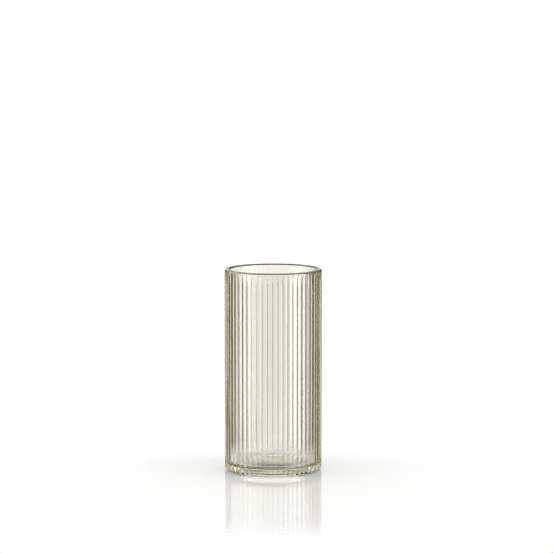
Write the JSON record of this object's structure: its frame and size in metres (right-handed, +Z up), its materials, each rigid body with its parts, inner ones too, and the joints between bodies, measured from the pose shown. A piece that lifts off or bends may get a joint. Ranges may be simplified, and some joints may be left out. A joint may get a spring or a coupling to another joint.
{
  "type": "vase",
  "caption": "Straight cylinder vase in pale olive tinted glass with vertical ribs outside, a smooth bore, a hollowed base and a rounded lip.",
  "frame": {"origin": "centre of the foot, on the surface that the vase stands on", "axes": "+Z up along the vase's own axis; X and Y are equal, with the crest of one rib on +X"},
  "size_m": [0.12, 0.12, 0.25],
  "materials": {
    "glass": "clear moulded glass with a pale olive tint, fire-polished"
  },
  "bodies": {
    "root": {"vase": "glass"}
  },
  "joints": []
}
